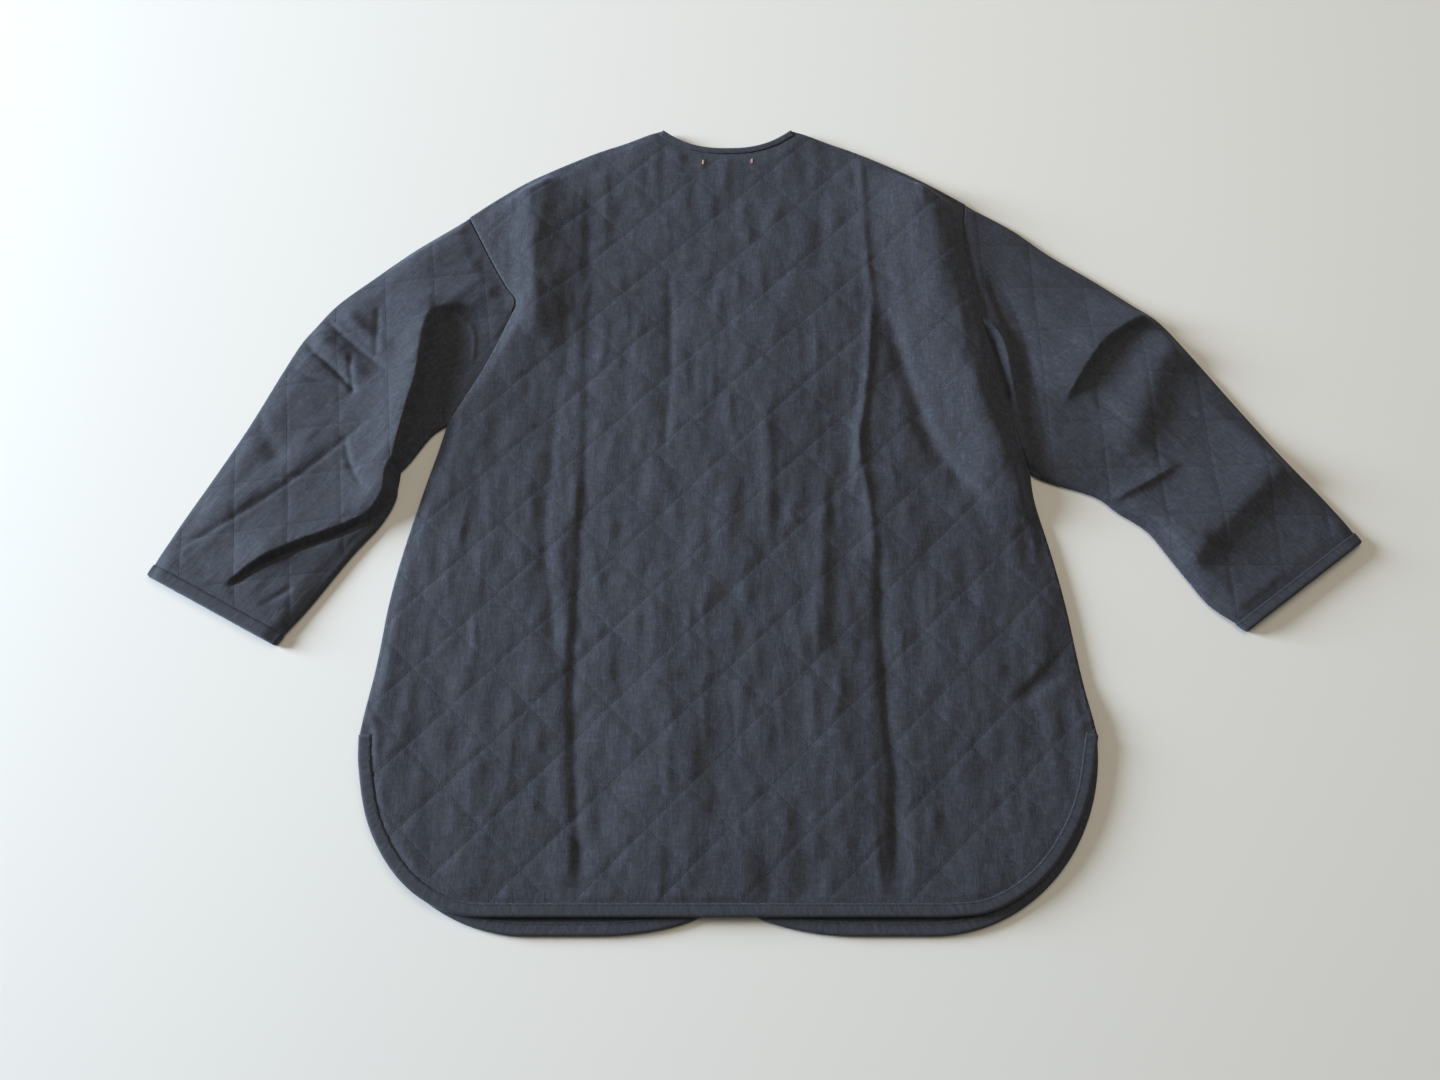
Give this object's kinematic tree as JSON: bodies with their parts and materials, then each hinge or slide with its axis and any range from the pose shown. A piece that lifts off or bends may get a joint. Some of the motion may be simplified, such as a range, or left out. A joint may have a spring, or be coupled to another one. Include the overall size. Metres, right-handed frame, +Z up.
{
  "type": "quilted coat",
  "caption": "Collarless diamond-quilted coat with drop shoulders, long sleeves and rounded side vents, its edges bound, laid flat on its front.",
  "frame": {"origin": "centre of the laid coat's box, on the floor it lies on", "axes": "+X to the right as seen from above with the neck at the top, +Y from the hem towards the neck, +Z up from the floor"},
  "size_m": [1.2176, 0.8862, 0.027],
  "materials": {
    "quilted_cotton": "matt slubby navy-charcoal cotton, quilted in diamonds",
    "binding_cotton": "matt plain navy-charcoal cotton strip"
  },
  "bodies": {
    "root": {"back_panel": "quilted_cotton", "front_left": "quilted_cotton", "front_right": "quilted_cotton", "sleeve_left": "quilted_cotton", "sleeve_right": "quilted_cotton", "neck_binding": "binding_cotton", "back_hem_binding": "binding_cotton", "front_left_binding": "binding_cotton", "front_right_binding": "binding_cotton", "cuff_binding_left": "binding_cotton", "cuff_binding_right": "binding_cotton"}
  },
  "joints": []
}
